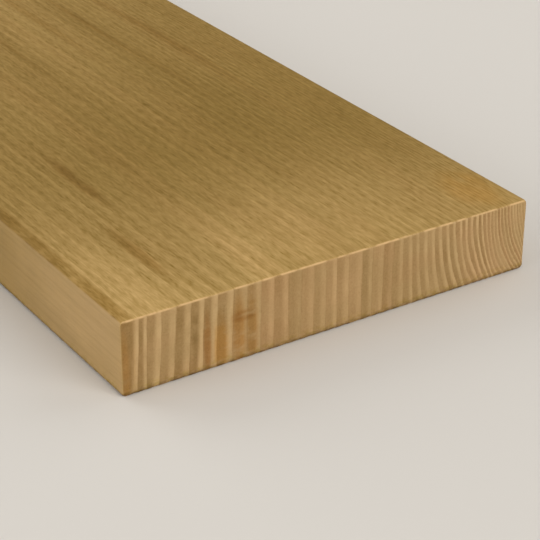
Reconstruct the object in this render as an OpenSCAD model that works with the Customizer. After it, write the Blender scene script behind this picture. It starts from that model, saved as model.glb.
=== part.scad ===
// Planed timber plank, lying flat, sawn in one piece with its growth rings standing nearly on edge.
// X runs across the width, Y along the grain and Z up. The origin lies under the middle of the plank.

/* [Section] */
// Width of the plank, across the grain
plank_width = 150; // [75:5:300]
// Thickness of the plank
plank_thickness = 25; // [16:1:75]

/* [Length] */
// Length of the plank, along the grain
plank_length = 1800; // [600:100:4800]

/* [Arrises] */
// Radius of the four long edges, eased after planing
long_arris = 1.5; // [0.5:0.1:5]
// Radius of the edges round each sawn end, rubbed down with a block
end_arris = 1; // [0.5:0.1:5]

/* [Hidden] */
$fn = 64;

// Rectangle about the origin with its four corners rounded
module eased_outline(size, corner) {
    flat = [size.x - 2 * corner, size.y - 2 * corner];
    square([size.x, flat.y], center = true);
    square([flat.x, size.y], center = true);
    for (x = [-1, 1], y = [-1, 1])
        translate([x * flat.x / 2, y * flat.y / 2])
            circle(r = corner);
}

// Section across the grain, planed along the whole length
module planed_section() {
    rotate([90, 0, 0])
        linear_extrude(plank_length, center = true)
            eased_outline([plank_width, plank_thickness], long_arris);
}

// Side outline, which eases the top and bottom edges of both ends
module end_ease_across() {
    rotate([90, 0, 90])
        linear_extrude(plank_width, center = true)
            eased_outline([plank_length, plank_thickness], end_arris);
}

// Plan outline, which eases the upright edges of both ends
module end_ease_upright() {
    linear_extrude(plank_thickness, center = true)
        eased_outline([plank_width, plank_length], end_arris);
}

// The plank is what the three outlines share, so that its eased edges meet at every corner
module plank() {
    color("#AC8F58")
        translate([0, 0, plank_thickness / 2])
            intersection() {
                planed_section();
                end_ease_across();
                end_ease_upright();
            }
}

plank();
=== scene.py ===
import math

import bpy
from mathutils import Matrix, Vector


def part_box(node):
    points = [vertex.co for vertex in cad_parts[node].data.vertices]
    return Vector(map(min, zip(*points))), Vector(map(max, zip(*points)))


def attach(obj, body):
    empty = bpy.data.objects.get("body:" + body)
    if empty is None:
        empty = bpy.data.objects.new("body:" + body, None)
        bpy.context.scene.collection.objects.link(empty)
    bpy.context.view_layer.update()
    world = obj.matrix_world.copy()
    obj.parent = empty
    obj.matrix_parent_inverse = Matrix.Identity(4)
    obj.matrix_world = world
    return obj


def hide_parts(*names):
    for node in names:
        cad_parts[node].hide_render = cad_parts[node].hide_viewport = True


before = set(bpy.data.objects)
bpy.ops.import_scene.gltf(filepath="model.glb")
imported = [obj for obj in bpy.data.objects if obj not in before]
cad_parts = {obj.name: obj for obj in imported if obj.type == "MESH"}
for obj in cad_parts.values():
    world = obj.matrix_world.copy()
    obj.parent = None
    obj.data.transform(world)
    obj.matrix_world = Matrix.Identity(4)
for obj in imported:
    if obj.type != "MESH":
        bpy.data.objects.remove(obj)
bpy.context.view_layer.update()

# Plank
# One length of close-grained timber, planed on its four long faces, sawn square at both ends and eased by
# hand along every edge. It was cut with its growth rings nearly on edge: the bark lay to its left, and the
# pith to its upper right, where the rings crowd together and sweep round below it.
foot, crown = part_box("plank")
size = (crown - foot) * 1000  # millimetres, as are all the lengths of this section
MM = 0.001  # metres
RING_WIDTH = 4.8  # in the left half, where the tree grew fastest
CROWDED_RINGS = 16  # more of them than that width gives, nearly all in the right third
CROWDING = 7.0  # how sharply those gather there: a power of the distance from the bark
DRY_YEAR = 2.4  # how much narrower the last ring but one stayed
DRY_FROM, DRY_TO = 5.0, 9.5  # where that ring lies
LEAN = 0.06  # of the rings on the left, to the left for each millimetre down
LEAN_TO = 0.55 * size.x  # where they stand upright again
BEND = 8.0  # of the rings on the right, to the right at the underside
BEND_FROM = 0.60 * size.x  # where they start to bend
BEND_CURVE = 2.0  # how sharply they bend: a power of the depth
TURNING_PALE = (0.35, 0.78)  # shares of a ring's width between which late wood turns into early wood
TURNING_DARK = (0.91, 1.0)  # and between which the ring ends
CUT_HEIGHT = 3750  # of the near end, up the trunk, which settles how its rings stray
# How the rings stray from that rule: how far a swell reaches across, along and up, and the least and the
# most that it shifts them. The last is so fine that it only makes them ragged.
STRAYING = (
    ((70, 420, 400), -1.1, 1.9),
    ((9, 150, 60), -0.8, 0.8),
    ((0.7, 25, 7), -0.2, 0.2),
)


class Field:
    """What a node gives at each point. Sums of fields add the nodes that work them out."""

    def __init__(self, socket):
        self.socket = socket
        self.tree = socket.id_data

    def node(self, kind, output=0, settings=(), **values):
        """An output of a new node in this field's tree. Names of sockets have underscores for spaces."""
        made = self.tree.nodes.new(kind)
        for name, value in dict(settings).items():
            setattr(made, name, value)
        for name, value in values.items():
            plug(made.inputs[name.replace("_", " ")], value)
        return Field(made.outputs[output])

    def maths(self, operation, *others):
        made = self.tree.nodes.new("ShaderNodeMath")
        made.operation = operation
        for socket, value in zip(made.inputs, (self, *others)):
            plug(socket, value)
        return Field(made.outputs[0])

    def __add__(self, other):
        return self.maths("ADD", other)

    def __sub__(self, other):
        return self.maths("SUBTRACT", other)

    def __mul__(self, other):
        return self.maths("MULTIPLY", other)

    def __truediv__(self, other):
        return self.maths("DIVIDE", other)

    def less_from(self, whole):
        return self.maths("MULTIPLY_ADD", -1.0, whole)

    def fade(self, start, end, low=0.0, high=1.0):
        """Goes smoothly from low to high as this field goes from start to end."""
        return self.node("ShaderNodeMapRange", settings={"interpolation_type": "SMOOTHSTEP"}, Value=self,
                         From_Min=start, From_Max=end, To_Min=low, To_Max=high)

    def vector_maths(self, operation, other):
        made = self.tree.nodes.new("ShaderNodeVectorMath")
        made.operation = operation
        plug(made.inputs[0], self)
        plug(made.inputs["Scale" if operation == "SCALE" else 1], other)
        return Field(made.outputs[0])

    def parts(self):
        made = self.tree.nodes.new("ShaderNodeSeparateXYZ")
        plug(made.inputs[0], self)
        return [Field(socket) for socket in made.outputs]

    def noise(self, lumps, detail=2.0):
        """Soft noise from 0 to 1 at a place. lumps is how far its lumps reach along each axis."""
        place = self.vector_maths("DIVIDE", lumps)
        return place.node("ShaderNodeTexNoise", "Fac", Vector=place, Scale=1.0, Detail=detail)

    def cells(self, lumps):
        """How far a place is from the middle of its own random cell, in cells."""
        place = self.vector_maths("DIVIDE", lumps)
        return place.node("ShaderNodeTexVoronoi", "Distance", Vector=place, Scale=1.0)

    def chance(self):
        """A random number from 0 to 1 for each value of this field."""
        return self.node("ShaderNodeTexWhiteNoise", "Value", {"noise_dimensions": "1D"}, W=self)


def plug(socket, value):
    """Links a field to a socket, or sets the socket to a plain value."""
    if isinstance(value, Field):
        socket.id_data.links.new(value.socket, socket)
    else:
        socket.default_value = value


def in_millimetres(point):
    """A point as a place: millimetres from the left edge, from the near end and up from the underside."""
    return point.vector_maths("SUBTRACT", foot).vector_maths("SCALE", 1 / MM)


def growth_rings(place):
    """(how pale the wood is within its ring, the ring's number, how far it is from the bark) at a place.

    Towards the pith each ring goes slowly from its dark late wood to its pale early wood, and ends sharply.
    """
    across, _, height = place.parts()
    depth = height.less_from(size.z)
    lost = across.fade(DRY_FROM, DRY_TO, DRY_YEAR, 0.0)
    lean = across.fade(0.0, LEAN_TO, LEAN, 0.0) * depth
    bend = across.fade(BEND_FROM, size.x, 0.0, BEND) * (depth / size.z).maths("POWER", BEND_CURVE)
    reach = across - lost + lean - bend
    trunk = place.vector_maths("ADD", (0, CUT_HEIGHT, 0))
    for swell, least, most in STRAYING:
        reach = reach + trunk.noise(swell, detail=1.0).fade(0.0, 1.0, least, most)
    reach = reach.maths("MAXIMUM", 0.0)
    count = reach / RING_WIDTH + (reach / size.x).maths("POWER", CROWDING) * CROWDED_RINGS
    within = count.maths("FRACT")
    pale = within.fade(*TURNING_PALE) - within.fade(*TURNING_DARK)
    return pale, count.maths("FLOOR"), reach


# Its shape
# A grid drawn out to the plank's size. Close cells turn over each edge, and even ones cover the rest.
LONG_ARRIS = 1.5
END_ARRIS = 1.0
RELIEF = 0.08  # of the dense wood, which stands proud of the soft
CELLS = (320, 110, 24)  # of the mesh, across, along and through the plank
ARRIS_CELLS = 4  # of those, on each side of an edge
TINY = 1e-6  # keeps factors and divisors above nought
FACING = 0.5  # least part of the normal along an axis, on a face that looks that way
# The flat map of the six faces that the finishes can be baked to, in shares of its width and of its height.
BROAD_SHARE, SIDE_SHARE, END_SHARE, MAP_GAP = 0.424, 0.070, 0.498, 0.004
LONG_RISE, END_RISE, ENDS_FROM = 0.9, 0.094, 0.905


def spread(position, cells, half, arris):
    """(which way out, how far on the flat, what share of the way over the edge) along one axis."""
    out = position.maths("ABSOLUTE")
    turn = 1 - 2 * ARRIS_CELLS / cells
    flat = (out / turn).maths("MINIMUM", 1.0) * (half - arris)
    edge = (out - turn).maths("MAXIMUM", 0.0) / (1 - turn)
    return position.maths("SIGN"), flat, edge


def rounded(first, second):
    """The factor that draws a square corner in to a round one."""
    length = (first * first + second * second).maths("SQRT").maths("MAXIMUM", TINY)
    return (first.maths("MAXIMUM", second) / length).maths("MAXIMUM", TINY)


def bake_place(corner, normal):
    """Lays the four long faces side by side, squeezed along the grain, and the two ends above them."""
    across, along, up = [(part + 1.0) * 0.5 for part in corner]
    long_faces = [(normal[2], 1, across, BROAD_SHARE), (normal[2], -1, across, BROAD_SHARE),
                  (normal[0], -1, up, SIDE_SHARE), (normal[0], 1, up, SIDE_SHARE)]
    u, v = along * 0.0, along * 0.0
    start = 0.0
    for facing, sign, run, share in long_faces:
        shown = (facing * sign).maths("GREATER_THAN", FACING)
        u = u + shown * (run * share + start)
        v = v + shown * along * LONG_RISE
        start += share + MAP_GAP
    start = 0.0
    for sign in (-1, 1):
        shown = (normal[1] * sign).maths("GREATER_THAN", FACING)
        u = u + shown * (across * END_SHARE + start)
        v = v + shown * (up * END_RISE + ENDS_FROM)
        start += END_SHARE + MAP_GAP
    return u.node("ShaderNodeCombineXYZ", "Vector", X=u, Y=v)


def shape_plank(face_finish, end_finish):
    """The plank as a plain mesh: a cube's grid drawn out to its size, eased and given its relief."""
    sizes = {"Width": size.x, "Length": size.y, "Thickness": size.z,
             "Long Arris": LONG_ARRIS, "End Arris": END_ARRIS, "Relief": RELIEF}
    tree = bpy.data.node_groups.new("plank_shape", "GeometryNodeTree")
    tree.interface.new_socket("Geometry", in_out="OUTPUT", socket_type="NodeSocketGeometry")
    tree.interface.new_socket("Geometry", in_out="INPUT", socket_type="NodeSocketGeometry")
    inputs = {}
    for name in sizes:
        inputs[name] = tree.interface.new_socket(name, in_out="INPUT", socket_type="NodeSocketFloat")
    given = tree.nodes.new("NodeGroupInput")
    width, length, thickness, long_arris, end_arris, relief = [Field(given.outputs[name]) for name in sizes]

    cube = tree.nodes.new("GeometryNodeMeshCube")
    cube.inputs["Size"].default_value = (2, 2, 2)  # so that each face lies at 1 or -1
    for axis, cells in zip("XYZ", CELLS):
        cube.inputs[f"Vertices {axis}"].default_value = cells + 1
    position = Field(tree.nodes.new("GeometryNodeInputPosition").outputs[0])
    facing = Field(tree.nodes.new("GeometryNodeInputNormal").outputs[0])
    on_face = tree.nodes.new("GeometryNodeFieldOnDomain")
    on_face.data_type = "FLOAT_VECTOR"
    on_face.domain = "FACE"
    plug(on_face.inputs[0], facing)
    normal = Field(on_face.outputs[0]).parts()
    corner = position.parts()
    store = "GeometryNodeStoreNamedAttribute"
    mapped = position.node(store, settings={"data_type": "FLOAT2", "domain": "CORNER"}, Name="OFBake",
                           Geometry=Field(cube.outputs["Mesh"]), Value=bake_place(corner, normal))
    at_end = normal[1].maths("ABSOLUTE").maths("GREATER_THAN", FACING)
    ended = position.node(store, settings={"data_type": "BOOLEAN", "domain": "FACE"}, Name="sawn_end",
                          Geometry=mapped, Value=at_end)

    side_x, flat_x, edge_x = spread(corner[0], CELLS[0], width * 0.5, long_arris)
    side_y, flat_y, edge_y = spread(corner[1], CELLS[1], length * 0.5, end_arris)
    side_z, flat_z, edge_z = spread(corner[2], CELLS[2], thickness * 0.5, long_arris)
    edge = edge_x.maths("MAXIMUM", edge_z)
    near_rim = end_arris / long_arris
    rim = ((edge + near_rim - 1.0) / near_rim).maths("MAXIMUM", 0.0)
    round_end = rounded(rim, edge_y)
    inset = rim * round_end.less_from(1.0) * end_arris
    kept = (inset / (edge * long_arris).maths("MAXIMUM", TINY)).less_from(1.0)
    drawn_in = rounded(edge_x, edge_z) * kept
    x = side_x * (flat_x + edge_x * drawn_in * long_arris)
    y = side_y * (flat_y + edge_y * round_end * end_arris)
    z = side_z * (flat_z + edge_z * drawn_in * long_arris) + thickness * 0.5
    place = x.node("ShaderNodeCombineXYZ", "Vector", X=x * MM, Y=y * MM, Z=z * MM)
    eased = place.node("GeometryNodeSetPosition", Geometry=ended, Position=place)

    pale = growth_rings(in_millimetres(position))[0]
    inwards = facing.vector_maths("SCALE", pale * relief * -MM)
    worn = eased.node("GeometryNodeSetPosition", Geometry=eased, Offset=inwards)
    smooth = worn.node("GeometryNodeSetShadeSmooth", Geometry=worn)
    whole = smooth.node("GeometryNodeRealizeInstances", Geometry=smooth)
    faced = whole.node("GeometryNodeSetMaterial", Geometry=whole, Material=face_finish)
    is_end = faced.node("GeometryNodeInputNamedAttribute", settings={"data_type": "BOOLEAN"},
                        Name="sawn_end")
    done = faced.node("GeometryNodeSetMaterial", Geometry=faced, Selection=is_end, Material=end_finish)
    plug(tree.nodes.new("NodeGroupOutput").inputs["Geometry"], done)

    piece = bpy.data.objects.new("plank_timber", bpy.data.meshes.new("blank"))
    bpy.context.scene.collection.objects.link(piece)
    shaper = piece.modifiers.new("shape", "NODES")
    shaper.node_group = tree
    for name, socket in inputs.items():
        shaper[socket.identifier] = sizes[name]
    bpy.context.view_layer.update()
    evaluated = piece.evaluated_get(bpy.context.evaluated_depsgraph_get())
    mesh = bpy.data.meshes.new_from_object(evaluated)
    piece.modifiers.remove(shaper)
    piece.data = mesh
    mesh.name = "plank_timber"
    return piece


# Its finishes
# The planed faces and the sawn ends share one grain, and differ in how strongly each part of it shows.
# LUMPS say how far the lumps of a pattern reach across, along and up.
def blend(factor, first, second):
    """One colour over another, as far as the factor says."""
    made = factor.tree.nodes.new("ShaderNodeMix")
    made.data_type = "RGBA"
    for socket, value in zip((made.inputs[0], made.inputs[6], made.inputs[7]), (factor, first, second)):
        plug(socket, value)
    return Field(made.outputs[2])


def tinted(colour, tint, share):
    """A colour multiplied by a tint, as far as the share says."""
    return blend(share, colour, colour.vector_maths("MULTIPLY", tint))


# The wood as it grew: its rings, the streaks along them and its pores.
MIDDLE_STARTS = (0.15 * size.x, 0.35 * size.x)  # of the plainer middle, where the rings show less
MIDDLE_ENDS = (0.60 * size.x, 0.85 * size.x)
CONTRAST_LUMPS = (8, 60, 7)  # of how strongly the rings show
PITH_SIDE = (0.90 * size.x, size.x)  # where the crowded rings show less
YOUNG_WOOD = (0.55 * size.x, 0.95 * size.x)  # where the wood gets paler towards the pith
YOUNG_TONE = 0.18  # and how much
EVEN_PALE = 0.35  # how pale a ring is where it leaves the tone as it is
RING_TONES = 0.25  # between the darkest ring and the palest
CONTRAST_DRAW, BLUSH_DRAW = 0.5, 0.25  # added to a ring's number, to draw other chances for it
STREAK_LUMPS = (0.8, 4.2, 0.8)
FIBRE_LUMPS = (0.5, 16, 9)
COARSE_PORE_LUMPS = (0.9, 5, 0.9)
FINE_PORE_LUMPS = (0.5, 3, 0.5)
CLOUD_LUMPS = (24, 80, 24)
BLUSH = (1.05, 0.94, 0.97)  # tint of the redder rings
BLUSH_LUMPS = (16, 50, 12)


def ring_tone(place, pale, year, plain_middle):
    """How much lighter or darker its rings make the wood. Each year has its own tone and contrast."""
    across = place.parts()[0]
    plain = across.fade(*MIDDLE_STARTS) - across.fade(*MIDDLE_ENDS)
    contrast = (year + CONTRAST_DRAW).chance().fade(0.0, 1.0, 0.5, 1.0)
    contrast = contrast * place.noise(CONTRAST_LUMPS, detail=1.0).fade(0.3, 0.7, 0.6, 1.2)
    contrast = contrast * (plain * plain_middle).less_from(1.0)
    contrast = contrast * across.fade(*PITH_SIDE, 1.0, 0.6)
    young = across.fade(*YOUNG_WOOD, 0.0, YOUNG_TONE)
    return (pale - EVEN_PALE) * contrast + (year.chance() - 0.5) * RING_TONES + young


def clean_wood(place, given):
    """(colour, fibre, height) of the wood as it grew: its rings, the streaks along them and its pores."""
    _, along, height = place.parts()
    pale, year, reach = growth_rings(place)
    ring = ring_tone(place, pale, year, given["Plain Middle"])
    streaks = place.noise(STREAK_LUMPS, detail=1.5) - 0.5
    fibre = reach.node("ShaderNodeCombineXYZ", X=reach, Y=along, Z=height).noise(FIBRE_LUMPS) - 0.5
    coarse_pores = place.cells(COARSE_PORE_LUMPS).fade(0.14, 0.32, 1.0, 0.0)
    fine_pores = place.cells(FINE_PORE_LUMPS).fade(0.10, 0.34, 1.0, 0.0)
    pores = coarse_pores.maths("MAXIMUM", fine_pores * 0.6) * pale.fade(0.0, 1.0, 1.0, 0.4)
    cloud = place.noise(CLOUD_LUMPS) - 0.5
    lightness = ring * given["Rings"] + (streaks + fibre * 0.6) * given["Streaks"]
    lightness = lightness + cloud * 0.4 - pores * given["Pores"] + 0.5
    colour = blend(lightness, given["Late Wood"], given["Early Wood"])
    red_years = (year + BLUSH_DRAW).chance().fade(0.4, 1.0)
    blush = place.noise(BLUSH_LUMPS, detail=1.0).fade(0.35, 0.70) + red_years
    return tinted(colour, BLUSH, blush * given["Blush"]), fibre, streaks * 0.3 - pores * 0.7


# What marks it: the strip along the left edge that grew last, and the long dark veins away from the ends.
BARK = (0.80, 0.74, 0.58)  # tint of the strip
BARK_STRIP = 4.6
BARK_LUMPS = (30, 12, 30)
VEIN = (0.80, 0.73, 0.56)  # tint of the veins
VEIN_LUMPS = (6, 230, 30)
VEINS_START = (80, 240)  # from the nearer end, where they come in
# Then a stain at the left corner of the near end, the stains of its left third, and the two dark streaks
# and the golden patch of the top: middle, reach and tint.
SPOTS = (
    ((1.0, 0, 6), (2.4, 6, 24), (1.07, 0.96, 0.79)),
    ((28.8, 0, 9), (1.9, 6, 15), (0.84, 0.68, 0.50)),
    ((33.6, 0, 6), (3.4, 6, 16), (0.95, 0.79, 0.50)),
    ((39.8, 0, 8), (3.4, 6, 20), (0.86, 0.70, 0.48)),
    ((44.4, 0, 9), (2.8, 6, 20), (0.84, 0.71, 0.50)),
    ((42.0, 0, 15), (6.5, 6, 2.6), (0.80, 0.68, 0.54)),
    ((25.0, 0, 14), (2.0, 6, 13), (0.82, 0.80, 0.72)),
    ((25.6, 36, 25), (3.4, 27, 9), (0.80, 0.73, 0.58)),
    ((34.2, 92, 25), (3.6, 30, 9), (0.80, 0.73, 0.60)),
    ((140, 17, 25), (13, 20, 9), (1.05, 0.95, 0.77)),
)
SPOT_CORE = 0.3  # of its reach, in which a spot has its full tint
BLOTCH_LUMPS = (7, 20, 3.5)  # of the pattern that breaks the spots up


def spot(place, middle, reach):
    """1 in the middle of a round or long spot in the wood, fading out to its reach along each axis."""
    offset = place.vector_maths("SUBTRACT", middle).vector_maths("DIVIDE", reach)
    far = offset.node("ShaderNodeVectorMath", "Value", {"operation": "LENGTH"}, Vector=offset)
    return far.fade(SPOT_CORE, 1.0, 1.0, 0.0)


def from_edges(place):
    """(how far a place is from the nearer side, how far it is from the nearer end)."""
    across, along, _ = place.parts()
    from_side = across.maths("MINIMUM", across.less_from(size.x))
    from_end = along.maths("MINIMUM", along.less_from(size.y))
    return from_side, from_end


def marked_wood(colour, place):
    """The colour with its stains and streaks, its veins and the strip that grew last."""
    across = place.parts()[0]
    from_end = from_edges(place)[1]
    blotch = place.noise(BLOTCH_LUMPS).fade(0.20, 0.58, 0.0, 1.1)
    for middle, reach, tint in SPOTS:
        colour = tinted(colour, tint, spot(place, middle, reach) * blotch)
    veins = place.noise(VEIN_LUMPS).fade(0.50, 0.72) * from_end.fade(*VEINS_START)
    colour = tinted(colour, VEIN, veins)
    broken = place.noise(BARK_LUMPS).fade(0.36, 0.60, 0.6, 1.0)
    strip = across.fade(0.8 * BARK_STRIP, 1.2 * BARK_STRIP, 1.0, 0.0) * from_end.fade(0.5, 4.0, 0.6, 1.0)
    return tinted(colour, BARK, strip * broken)


# The two sides have a tone of their own, and the broad faces have painted light and sheen near their ends.
SIDE_DEPTH = (0.15, 0.7)  # in from a side, where its tone fades out
SIDE_COLOUR = (0.396, 0.258, 0.093, 1)
SIDE_COVER = 0.7  # how much of the wood's own colour that hides
SIDE_MARK = (0.84, 0.84, 0.80)  # tint of the long faint marks on the sides
SIDE_MARK_COVER = 0.5
SCUFF_LUMPS = (9, 34, 9)
SCRATCH_LUMPS = (4, 70, 1.4)
SHEEN_AND_TONE = (1.93, 2.04, 3.20)  # tint that pales the broad faces: painted light and sheen near the ends, their own paler tone further on
SHEEN_REACH = 104  # from the nearer end, over which the painted light and sheen fade out
SHEEN_LUMPS = (30, 60, 30)
LEFT_PALING = 0.17  # share of that tint at the left edge, all along
LEFT_SIDE = (0.05 * size.x, 0.45 * size.x)  # where that fades out
SEASONED_BY = 420  # from the near end, by which the rest of the plank has its own paler tone
SEASONED_LUMPS = (26, 420, 60)


def toned_and_sheened(colour, place, given):
    """The colour with the sides' tone, painted light and sheen near the ends, and the faces' paler tone."""
    across, along, _ = place.parts()
    from_side, from_end = from_edges(place)
    on_face = from_side.fade(*SIDE_DEPTH)
    on_side = on_face.less_from(1.0)
    colour = blend(on_side * SIDE_COVER, colour, SIDE_COLOUR)
    marks = place.noise(SCUFF_LUMPS).fade(0.35, 0.70) + place.noise(SCRATCH_LUMPS).fade(0.40, 0.70)
    colour = tinted(colour, SIDE_MARK, marks * on_side * SIDE_MARK_COVER)
    # Painted light and sheen: the broad faces are paler near each end; the seasoned share is their own
    # paler tone.
    sheen_and_tone = from_end.fade(0.0, SHEEN_REACH, 1.0, 0.0) * place.noise(SHEEN_LUMPS).fade(0.3, 0.65, 0.6, 1.0)
    sheen_and_tone = sheen_and_tone * on_face.fade(0.0, 1.0, 0.5, 1.0) * across.fade(0.1 * size.x, size.x, 1.0, 0.65)
    seasoned = along.fade(0, SEASONED_BY) * place.noise(SEASONED_LUMPS).fade(0.25, 0.75, 0.25, 0.75)
    sheen_and_tone = sheen_and_tone + seasoned * on_face * sheen_and_tone.less_from(1.0)
    sheen_and_tone = sheen_and_tone + across.fade(*LEFT_SIDE, LEFT_PALING, 0.0) * on_face
    return tinted(colour, SHEEN_AND_TONE, sheen_and_tone * given["Dried"])


# Lower edges soiled from the ground, with painted shade; upper end edges rubbed, with a painted highlight.
SOIL_AND_SHADE = (0.40, 0.36, 0.34)  # tint of the soil and the painted shade under the lower edges
SOIL_AND_SHADE_HEIGHT = (0.2, 2.2)  # where it fades out
SOIL_AND_SHADE_LUMPS = (2, 2, 1)
DAMP_AND_SHADE = (0.86, 0.86, 0.62)  # tint of the patches above the soil, partly painted shade
DAMP_AND_SHADE_HEIGHT = (1.0, 4.0)  # where they fade out
DAMP_AND_SHADE_LUMPS = (2.5, 2.5, 1.2)
OUTSIDE = (0.5, 4.0)  # in from a side or an end, where dirt and painted shade fade out
# Pale colour of the rubbed upper edge of each end, partly a painted highlight.
RUBBED_AND_HIGHLIGHT_COLOUR = (0.615, 0.392, 0.180, 1)
RUBBED_AND_HIGHLIGHT_RIM = (0.3, 0.75)  # in from the end and down from the top, where that fades out
RUBBED_AND_HIGHLIGHT_LUMPS = (4, 3, 3)


def used_with_painted_light(colour, place):
    """The colour with soil and painted shade low down, and each end's rubbed upper edge with a painted
    highlight.
    """
    height = place.parts()[2]
    from_side, from_end = from_edges(place)
    outside = from_end.maths("MINIMUM", from_side).fade(*OUTSIDE, 1.0, 0.0)
    # Soil and damp patches along the lower edges, partly painted shade under the arris.
    soil_and_shade = height.fade(*SOIL_AND_SHADE_HEIGHT, 1.0, 0.0) * place.noise(SOIL_AND_SHADE_LUMPS).fade(0.32, 0.60, 0.2, 0.9)
    damp_and_shade = height.fade(*DAMP_AND_SHADE_HEIGHT, 1.0, 0.0) * place.noise(DAMP_AND_SHADE_LUMPS, detail=3.0).fade(0.40, 0.62)
    colour = tinted(tinted(colour, DAMP_AND_SHADE, damp_and_shade * outside), SOIL_AND_SHADE, soil_and_shade * outside)
    # The rubbed upper edge of each end, partly a painted highlight.
    on_rim = from_end.maths("MAXIMUM", height.less_from(size.z)).fade(*RUBBED_AND_HIGHLIGHT_RIM, 1.0, 0.0)
    rubbed_and_highlight = place.noise(RUBBED_AND_HIGHLIGHT_LUMPS, detail=3.0).fade(0.34, 0.60, 0.1, 1.0)
    return blend(on_rim * rubbed_and_highlight, colour, RUBBED_AND_HIGHLIGHT_COLOUR)


def grain_group():
    """The look of the timber as a shader group, which reads a point and how strongly each thing shows."""
    group = bpy.data.node_groups.new("grain", "ShaderNodeTree")
    kinds = {"Point": "Vector", "Late Wood": "Color", "Early Wood": "Color"}
    for name in ("Rings", "Plain Middle", "Streaks", "Pores", "Dried", "Blush"):
        kinds[name] = "Float"
    for name, kind in kinds.items():
        group.interface.new_socket(name, in_out="INPUT", socket_type=f"NodeSocket{kind}")
    for name, kind in {"Colour": "Color", "Fibre": "Float", "Height": "Float"}.items():
        group.interface.new_socket(name, in_out="OUTPUT", socket_type=f"NodeSocket{kind}")
    entry = group.nodes.new("NodeGroupInput")
    given = {name: Field(entry.outputs[name]) for name in kinds}
    place = in_millimetres(given["Point"])
    colour, fibre, height = clean_wood(place, given)
    colour = toned_and_sheened(marked_wood(colour, place), place, given)
    result = group.nodes.new("NodeGroupOutput")
    plug(result.inputs["Colour"], used_with_painted_light(colour, place))
    plug(result.inputs["Fibre"], fibre)
    plug(result.inputs["Height"], height)
    return group


GLOSS = 0.1  # of the thin clear finish
ROUGHNESS_RANGE = 0.06  # more or less, from fibre to fibre
GRAIN_DEPTH = 0.12  # of the pores and streaks
GRAIN_STRENGTH = 0.6


def finish(name, grain, roughness, **shown):
    """One finish of the timber. shown gives the grain group's inputs, with underscores for their spaces."""
    material = bpy.data.materials.new(name)
    material.use_nodes = True
    tree = material.node_tree
    shader = tree.nodes["Principled BSDF"]
    wood = tree.nodes.new("ShaderNodeGroup")
    wood.node_tree = grain
    plug(wood.inputs["Point"], Field(tree.nodes.new("ShaderNodeTexCoord").outputs["Object"]))
    for socket, value in shown.items():
        plug(wood.inputs[socket.replace("_", " ")], value)
    colour, fibre, height = [Field(socket) for socket in wood.outputs]
    plug(shader.inputs["Base Color"], colour)
    rough = fibre.fade(-0.3, 0.3, roughness - ROUGHNESS_RANGE, roughness + ROUGHNESS_RANGE)
    plug(shader.inputs["Roughness"], rough)
    shader.inputs["Specular IOR Level"].default_value = GLOSS
    bump = height.node("ShaderNodeBump", "Normal", Strength=GRAIN_STRENGTH, Distance=GRAIN_DEPTH * MM,
                       Height=height)
    plug(shader.inputs["Normal"], bump)
    return material


grain = grain_group()
planed_face = finish("planed_face", grain, roughness=0.68,
                     Late_Wood=(0.142, 0.080, 0.009, 1), Early_Wood=(0.326, 0.204, 0.052, 1),
                     Rings=0.22, Plain_Middle=0.1, Streaks=0.85, Pores=0.18, Dried=0.95, Blush=0.12)
sawn_end = finish("sawn_end", grain, roughness=0.75,
                  Late_Wood=(0.21, 0.121, 0.037, 1), Early_Wood=(0.452, 0.302, 0.138, 1),
                  Rings=0.66, Plain_Middle=0.45, Streaks=0.35, Pores=0.08, Dried=0.0, Blush=0.3)
plank = shape_plank(planed_face, sawn_end)
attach(plank, "root")
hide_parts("plank")

# Floor
# A very wide sheet of pale matt paper that the plank lies on.
# It runs on past the edge of every view, so it is the backdrop as well.
FLOOR_SIDE = 100.0  # metres
PAPER_COLOUR = (0.67, 0.632, 0.578, 1)
PAPER_ROUGHNESS = 0.9
bpy.ops.mesh.primitive_plane_add(size=FLOOR_SIDE)
floor = bpy.context.object
floor.name = "floor"
paper = bpy.data.materials.new("paper")
paper.use_nodes = True
paper_shader = paper.node_tree.nodes["Principled BSDF"]
paper_shader.inputs["Base Color"].default_value = PAPER_COLOUR
paper_shader.inputs["Roughness"].default_value = PAPER_ROUGHNESS
floor.data.materials.append(paper)

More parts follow.
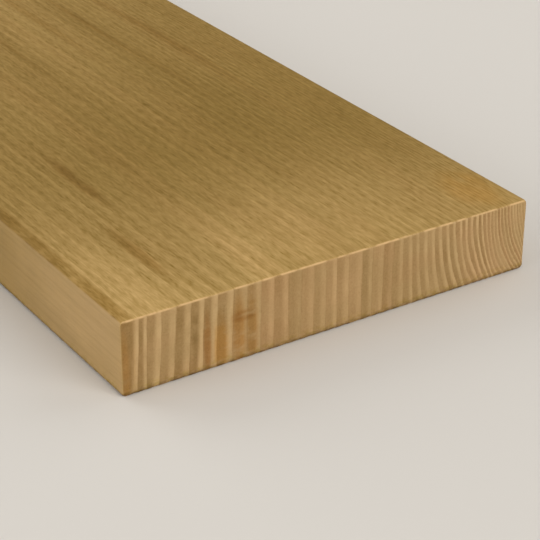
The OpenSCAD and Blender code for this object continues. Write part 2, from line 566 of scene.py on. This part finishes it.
# Light
# Four very large soft boxes stand far off on all sides, so that the light is the same all along the plank.
# The one in front is the strongest, and white walls give back the rest.
SOFT_BOX_SPREAD = math.radians(50)  # how wide each one looks from the plank
WALL_COLOUR = (1.0, 0.98, 0.95, 1)
WALL_STRENGTH = 0.34


def soft_box(name, towards, strength):
    """A soft box that stands in one direction from the plank."""
    lamp = bpy.data.lights.new(name, "SUN")
    lamp.angle = SOFT_BOX_SPREAD
    lamp.energy = strength
    holder = bpy.data.objects.new(name, lamp)
    holder.rotation_euler = Vector(towards).to_track_quat("Z", "Y").to_euler()
    bpy.context.scene.collection.objects.link(holder)


soft_box("front", towards=(0.23, -0.85, 0.47), strength=2.25)
soft_box("left", towards=(-0.97, 0.08, 0.23), strength=1.25)
soft_box("right", towards=(0.85, 0.10, 0.52), strength=0.7)
soft_box("back", towards=(-0.36, 0.87, 0.35), strength=1.2)
walls = bpy.data.worlds.new("walls")
walls.use_nodes = True
wall_light = walls.node_tree.nodes["Background"]
wall_light.inputs["Color"].default_value = WALL_COLOUR
wall_light.inputs["Strength"].default_value = WALL_STRENGTH
bpy.context.scene.world = walls

# Camera
# It looks down on the near end from in front and to the left.
# It stands so close that the plank runs out of the picture.
PICTURE_SIDE = 540  # pixels
FOCAL_LENGTH = 1800  # pixels
AZIMUTH = math.radians(-32.9)
ELEVATION = math.radians(27.76)
DISTANCE = 0.5385  # metres, from the point of the top that it looks at
AIM_ACROSS = 0.0534  # metres, from the left edge to that point
AIM_ALONG = 0.0041  # metres, from the near end to that point
aim = Vector((foot.x + AIM_ACROSS, foot.y + AIM_ALONG, crown.z))
level = math.cos(ELEVATION)
back = Vector((math.sin(AZIMUTH) * level, -math.cos(AZIMUTH) * level, math.sin(ELEVATION)))
lens = bpy.data.cameras.new("camera")
lens.lens = FOCAL_LENGTH / PICTURE_SIDE * lens.sensor_width
camera = bpy.data.objects.new("camera", lens)
camera.location = aim + back * DISTANCE
camera.rotation_euler = back.to_track_quat("Z", "Y").to_euler()
bpy.context.scene.collection.objects.link(camera)
bpy.context.scene.camera = camera
bpy.context.scene.view_settings.view_transform = "Standard"
